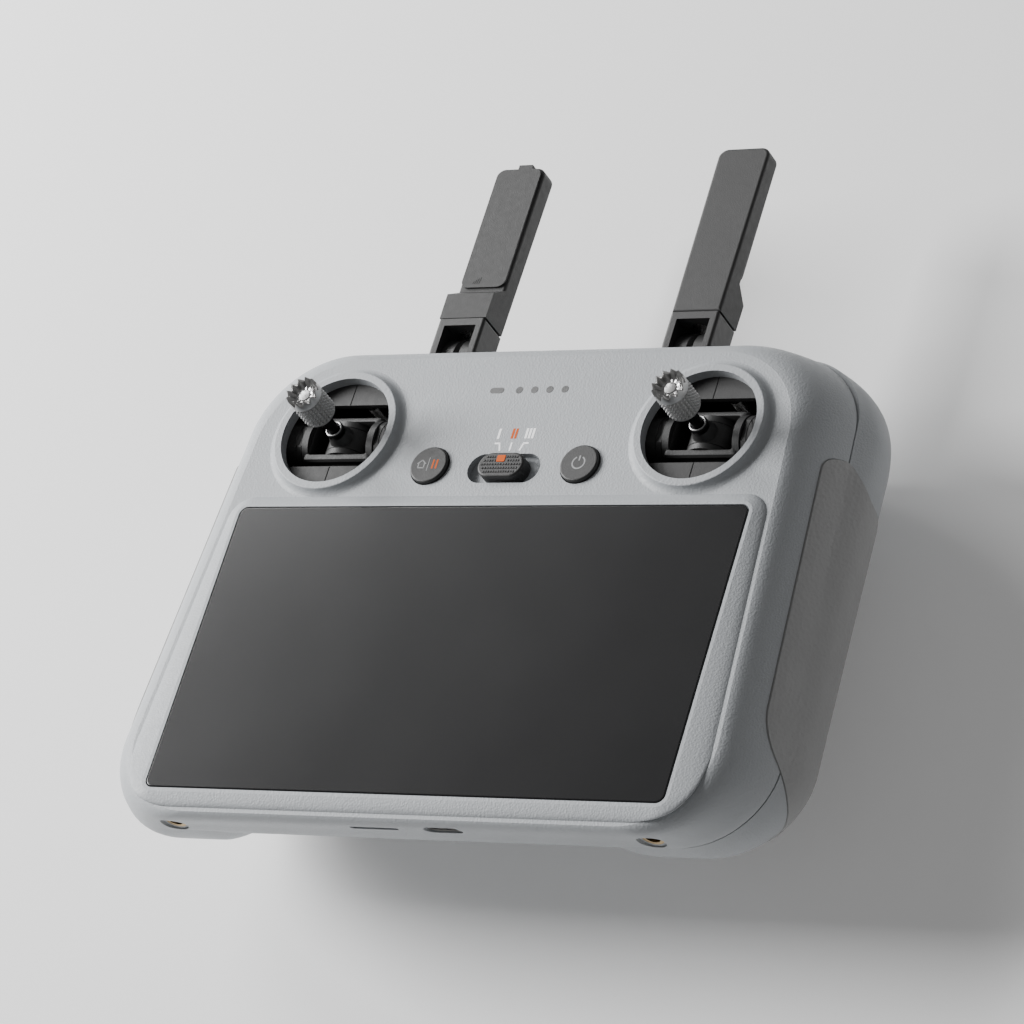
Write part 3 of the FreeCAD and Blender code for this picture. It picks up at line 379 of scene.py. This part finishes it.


# the white ink glows at 0.3: painted light that brightens the printed white marks beyond what the lamps give
# them
WHITE_INK_PAINTED_GLOW = ink("white_ink_painted_glow", (0.95, 0.95, 0.96), glow=0.3)
GREY_INK = ink("grey_ink", (0.32, 0.325, 0.33))
ORANGE_INK = ink("orange_ink", (0.66, 0.105, 0.0), specular=0.15)
SEAM = moulded("seam_shadow", 0.006, 0.8, 0.3, 0.0)


def marks(name, shapes, top, body, slot, material, centre, thick=0.05):
    """Flat printed shapes, in millimetres about centre, their faces at height top."""
    bm = bmesh.new()
    for shape in shapes:
        prism(bm, shape, -thick, 0.0)
    return piece(name, bm, body, slot, material, lift=at(centre[0], centre[1], top))


# ---------------------------------------------------------------- sticks

HEAD_BOTTOM = 6.3
HEAD_RADIUS = 3.9


def triangle(value):
    """A triangle wave of period 1, from 0 to 1."""
    return 1 - abs((value % 1.0) * 2 - 1)


def plain_rows(places):
    """Round rows for revolve(), from their (radius, height)."""
    return [lambda angle, place=place: place for place in places]


def knurled_head(name, s):
    """The stick's head: a square-knurled barrel, its crown of twelve pointed teeth round a dished middle."""
    around = 216
    teeth = 12
    columns = 27
    pitch = 0.98
    barrel_foot = 1.0
    step = 0.14
    rows = plain_rows([(1.4, 0.0), (2.9, 0.0), (3.25, 0.12), (3.6, 0.5), (3.62, 0.8)])

    def knurl(height):
        def row(angle):
            pyramid = min(triangle(angle * columns / (2 * math.pi)), triangle((height - barrel_foot) / pitch))
            return (HEAD_RADIUS - 0.4 + 0.44 * min(1.0, 1.4 * pyramid), height)
        return row

    rows += [knurl(barrel_foot + step * n) for n in range(43)]
    rows += plain_rows([(3.5, 6.95), (3.5, 7.15), (3.86, 7.3)])

    def crown(radius, low, tooth_height, flare=0.0):
        def row(angle):
            peak = triangle(angle * teeth / (2 * math.pi) + 0.5)
            return (radius + flare * peak, low + tooth_height * peak)
        return row

    rows += [
        crown(3.88, 8.0, 0.3),
        crown(3.8, 8.45, 1.3, -0.06),
        crown(3.62, 8.55, 1.45, -0.1),
        crown(3.2, 8.5, 1.42, -0.1),
        crown(2.6, 8.2, 0.9),
        crown(2.1, 8.0, 0.2),
    ]
    rows += plain_rows([(1.5, 7.9), (1.3, 8.1), (0.5, 8.2)])
    bm = bmesh.new()
    revolve(bm, rows, around)
    foot = at(s * STICK_X, STICK_Y, HEAD_BOTTOM)
    head = piece(f"knurled_head_{name}", bm, f"stick_{name}", "knurled_aluminium", smooth=28, lift=foot)
    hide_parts(f"stick_head_{name}")


GIMBAL_DEPTH = 7.9


def ring_profile(radius, height, thick, steps=10):
    """Rows of a small torus, for revolve()."""
    angles = [2 * math.pi * n / steps for n in range(steps + 1)]
    return plain_rows([(radius + thick * math.cos(a), height + thick * math.sin(a)) for a in angles])


def stick_collar(name, s):
    """The bright ring where the shaft leaves its black collar."""
    pivot = at(s * STICK_X, STICK_Y, -GIMBAL_DEPTH)
    bm = bmesh.new()
    revolve(bm, ring_profile(1.78, 8.5, 0.2), 48, closed_ends=False)
    bmesh.ops.remove_doubles(bm, verts=bm.verts, dist=1e-7)
    piece(f"shaft_ring_{name}", bm, f"stick_{name}", "knurled_aluminium", smooth=60, lift=pivot)
    sleeve = bmesh.new()
    rows = [(1.3, 6.6), (2.05, 6.6), (2.15, 6.8), (2.15, 8.2), (2.02, 8.36), (1.3, 8.38)]
    revolve(sleeve, plain_rows(rows), 48)
    piece(f"shaft_sleeve_{name}", sleeve, f"stick_{name}", "black_shaft", smooth=35, lift=pivot)


def arc_points(centre, first, last, radius, plane, steps=24):
    """Points of an arc in metres; plane is the two axes that it turns through."""
    u, v = (Vector(axis) for axis in plane)
    points = []
    for n in range(steps + 1):
        angle = math.radians(first + (last - first) * n / steps)
        points.append(Vector(centre) + (u * math.cos(angle) + v * math.sin(angle)) * radius * MM)
    return points


def cradle_frame(name, s):
    """The flat frame round the cradle's window, its edges chamfered."""
    outside = [(8.9, 5.7, 2.6), (8.9, 5.7, 3.9), (8.55, 5.35, 4.5), (8.1, 4.8, 4.75)]
    inside = [(7.6, 4.3, 4.75), (7.5, 4.2, 4.55), (7.5, 4.2, 2.6)]
    bm = bmesh.new()
    rings = []
    for half_x, half_y, height in outside + inside:
        outline = rounded_bar(2 * half_x, 2 * half_y, 0.5, 4)
        rings.append([bm.verts.new(Vector((x, y, height)) * MM) for x, y in outline])
    for first, second in zip(rings, rings[1:] + rings[:1]):
        for n in range(len(first)):
            m = (n + 1) % len(first)
            bm.faces.new((first[n], first[m], second[m], second[n]))
    pivot = at(s * STICK_X, STICK_Y, -GIMBAL_DEPTH)
    piece(f"cradle_frame_{name}", bm, f"cradle_{name}", "cradle_plastic", smooth=30, lift=pivot)


def well_lines(name, s):
    """The fine joint lines in a well: across the covers, round the cheeks, and over the stick's own drum."""
    x = s * STICK_X
    line = 0.11 * MM
    fixed = bmesh.new()
    for t in (-1, 1):
        tube(fixed, [at(x, STICK_Y + t * 8.1, -2.2), at(x, STICK_Y + t * 13.7, -2.2)], line)
        centre = at(x + t * 10.9, STICK_Y, -GIMBAL_DEPTH)
        tube(fixed, arc_points(centre, 20, 160, 6.1, ((0, 1, 0), (0, 0, 1))), line)
    piece(f"well_lines_{name}", fixed, "casing", "well_plastic", SEAM, lift=(0, 0, 0))
    drum = bmesh.new()
    for t in (-1, 1):
        centre = at(x, STICK_Y + t * 2.7, -GIMBAL_DEPTH)
        tube(drum, arc_points(centre, 28, 152, 5.3, ((1, 0, 0), (0, 0, 1))), line)
    piece(f"drum_lines_{name}", drum, f"stick_{name}", "cradle_plastic", SEAM)


# ---------------------------------------------------------------- marks and ribs on the face

BUTTON_X = 19.0
BUTTON_Y = 46.4
SWITCH_Y = 45.7
# heights from the glass: the casing's face, and the buttons' caps on it
FACE = -1.4
CAP_TOP = FACE + 0.9
INK_PROUD = 0.03


def icon_power():
    bar = [stroke((0, 0.5), (0, 1.75), 0.32)]
    return arc_stroke(1.5, 0.32, 118, 422) + bar


def icon_home():
    """A small house: a roof and three walls."""
    roof = [stroke((-1.25, 0.1), (0.05, 1.25), 0.28), stroke((-0.05, 1.25), (1.25, 0.1), 0.28)]
    walls = [stroke((x, 0.3), (x, -1.1), 0.28) for x in (-0.85, 0.85)]
    return roof + walls + [stroke((-0.99, -1.1), (0.99, -1.1), 0.28)]


def moved_shapes(shapes, dx, dy, scale=1.0):
    return [[(x * scale + dx, y * scale + dy) for x, y in shape] for shape in shapes]


def button_marks():
    top = CAP_TOP + INK_PROUD
    marks("power_mark", icon_power(), top, "power_button", "button_plastic", GREY_INK, (BUTTON_X, BUTTON_Y))
    home = moved_shapes(icon_home(), -1.75, 0.0, 0.85) + [stroke((0.0, -1.7), (0.0, 1.7), 0.16)]
    marks("return_mark", home, top, "return_button", "button_plastic", GREY_INK, (-BUTTON_X, BUTTON_Y))
    bars = [stroke((1.2, -1.15), (1.2, 1.15), 0.42), stroke((2.15, -1.15), (2.15, 1.15), 0.42)]
    marks("pause_mark", bars, top, "return_button", "button_plastic", ORANGE_INK, (-BUTTON_X, BUTTON_Y))


def mode_marks():
    """Marks of one, two and three bars above the switch, with leader ticks to the switch's places."""
    top = FACE + INK_PROUD
    white = []
    orange = []
    for place, (x, bars) in enumerate(((-3.9, 1), (0.0, 2), (3.9, 3))):
        shapes = white if bars != 2 else orange
        for n in range(bars):
            offset = (n - (bars - 1) / 2) * 0.85
            shapes.append(stroke((x + offset, 53.3), (x + offset, 55.9), 0.56))
    white.append(stroke((0.0, 50.2), (0.0, 52.3), 0.42))
    for t in (-1, 1):
        white.append(stroke((t * 2.5, 50.2), (t * 3.1, 52.2), 0.42))
        white.append(stroke((t * 2.95, 52.1), (t * 4.3, 52.1), 0.42))
    # the white marks' ink glows, painted light on top of the white print
    marks("mode_marks", white, top, "casing", "housing", WHITE_INK_PAINTED_GLOW, (0, 0))
    marks("mode_mark_middle", orange, top, "casing", "housing", ORANGE_INK, (0, 0))


def switch_ribs():
    """Five rows of fine grip ribs on the switch's cap, and its orange mark."""
    top = 0.3
    bm = bmesh.new()
    for row in range(5):
        y = (row - 2) * 0.94
        half = 4.75 - abs(row - 2) * 0.5
        count = 15 - abs(row - 2)
        for n in range(count):
            x = -half + 2 * half * n / (count - 1)
            if row >= 3 and abs(x + 0.2) < 1.35:
                continue
            prism(bm, rounded_bar(0.46, 0.5, 0.12, 3, (x, y)), -0.1, 0.13, 0.07)
    piece("switch_ribs", bm, "mode_switch", "button_plastic", smooth=30, lift=at(0, SWITCH_Y, top))
    mark = bmesh.new()
    prism(mark, rounded_bar(2.1, 1.7, 0.25, 4, (-0.2, 1.45)), -0.1, 0.1, 0.05)
    piece("switch_mark", mark, "mode_switch", "button_plastic", ORANGE_INK, lift=at(0, SWITCH_Y, top))


def switch_floor():
    """The grey plate under the switch's cap, which closes its slot as it slides."""
    bm = bmesh.new()
    prism(bm, rounded_bar(20.4, 10.0, 1.0, 4), -0.05, 0.0)
    piece("switch_floor", bm, "mode_switch", "housing", lift=at(0, SWITCH_Y, -3.13))


# ---------------------------------------------------------------- small lines on the casing


def antenna_marks():
    """A small hatched patch on the left antenna's lid, where a maker would put a sign."""
    lid_face = -13.1
    lines = [stroke((-0.8 + 0.55 * n, -0.6), (-0.5 + 0.55 * n, 0.2 + 0.35 * n), 0.17) for n in range(4)]
    marks("lid_hatching", lines, lid_face + 0.02, "antenna_left", "antenna_plastic", SEAM, (-31.9, 103.4))


def build_pieces():
    for name, s in SIDES.items():
        knurled_head(name, s)
        stick_collar(name, s)
        cradle_frame(name, s)
        well_lines(name, s)
    button_marks()
    mode_marks()
    switch_ribs()
    switch_floor()
    antenna_marks()


# ---------------------------------------------------------------- camera and light


def place_camera():
    """The camera that the object is looked at with, by its place and its three axes."""
    position = at(532.3, -421.8, 730.2)
    right = Vector((0.85341, 0.27202, -0.44463))
    up = Vector((0.00387, 0.84970, 0.52725))
    back = right.cross(up)
    data = bpy.data.cameras.new("camera")
    data.sensor_width = 36.0
    data.lens = 165.83
    data.clip_end = 20.0
    camera = bpy.data.objects.new("camera", data)
    bpy.context.collection.objects.link(camera)
    turn = Matrix((right, up, back)).transposed().to_4x4()
    camera.matrix_world = Matrix.Translation(position) @ turn
    bpy.context.scene.camera = camera
    return camera


def add_area(name, where, aim, size, energy, colour=(1.0, 1.0, 1.0)):
    data = bpy.data.lights.new(name, "AREA")
    data.shape = "RECTANGLE"
    data.size, data.size_y = size
    data.energy = energy
    data.color = colour
    light = bpy.data.objects.new(name, data)
    bpy.context.collection.objects.link(light)
    light.location = where
    light.rotation_euler = (Vector(aim) - Vector(where)).to_track_quat("-Z", "Y").to_euler()
    return light


def studio_sheet(name, corners, level, glow):
    """A matt sheet of the studio through four corners in metres."""
    mesh = bpy.data.meshes.new(name)
    mesh.from_pydata(corners, [], [(0, 1, 2, 3)])
    sheet = bpy.data.objects.new(name, mesh)
    bpy.context.collection.objects.link(sheet)
    n = Nodes(name)
    n.colour(n.blend(n.noise(4, 2), shade(level), shade(level * 1.03)))
    n.fixed(Roughness=0.95, Specular_IOR_Level=0.1, Emission_Color=(1, 1, 1, 1), Emission_Strength=glow)
    mesh.materials.append(n.material)


def build_studio():
    low = -0.0002
    studio_sheet("floor", [(-3, -3, low), (3, -3, low), (3, 3, low), (-3, 3, low)], 0.9, 0.1)
    world = bpy.data.worlds.new("studio")
    world.use_nodes = True
    world.node_tree.nodes["Background"].inputs[0].default_value = (1, 1, 1, 1)
    world.node_tree.nodes["Background"].inputs[1].default_value = 0.18
    bpy.context.scene.world = world
    add_area("key", (-1.06, 0.10, 0.66), (0, 0, 0.03), (0.5, 0.5), 33.0)
    add_area("glass_sheen", (-0.66, 0.55, 0.53), (0, 0, 0.03), (0.36, 0.36), 4.9)


dress_nodes()
build_pieces()
place_camera()
build_studio()
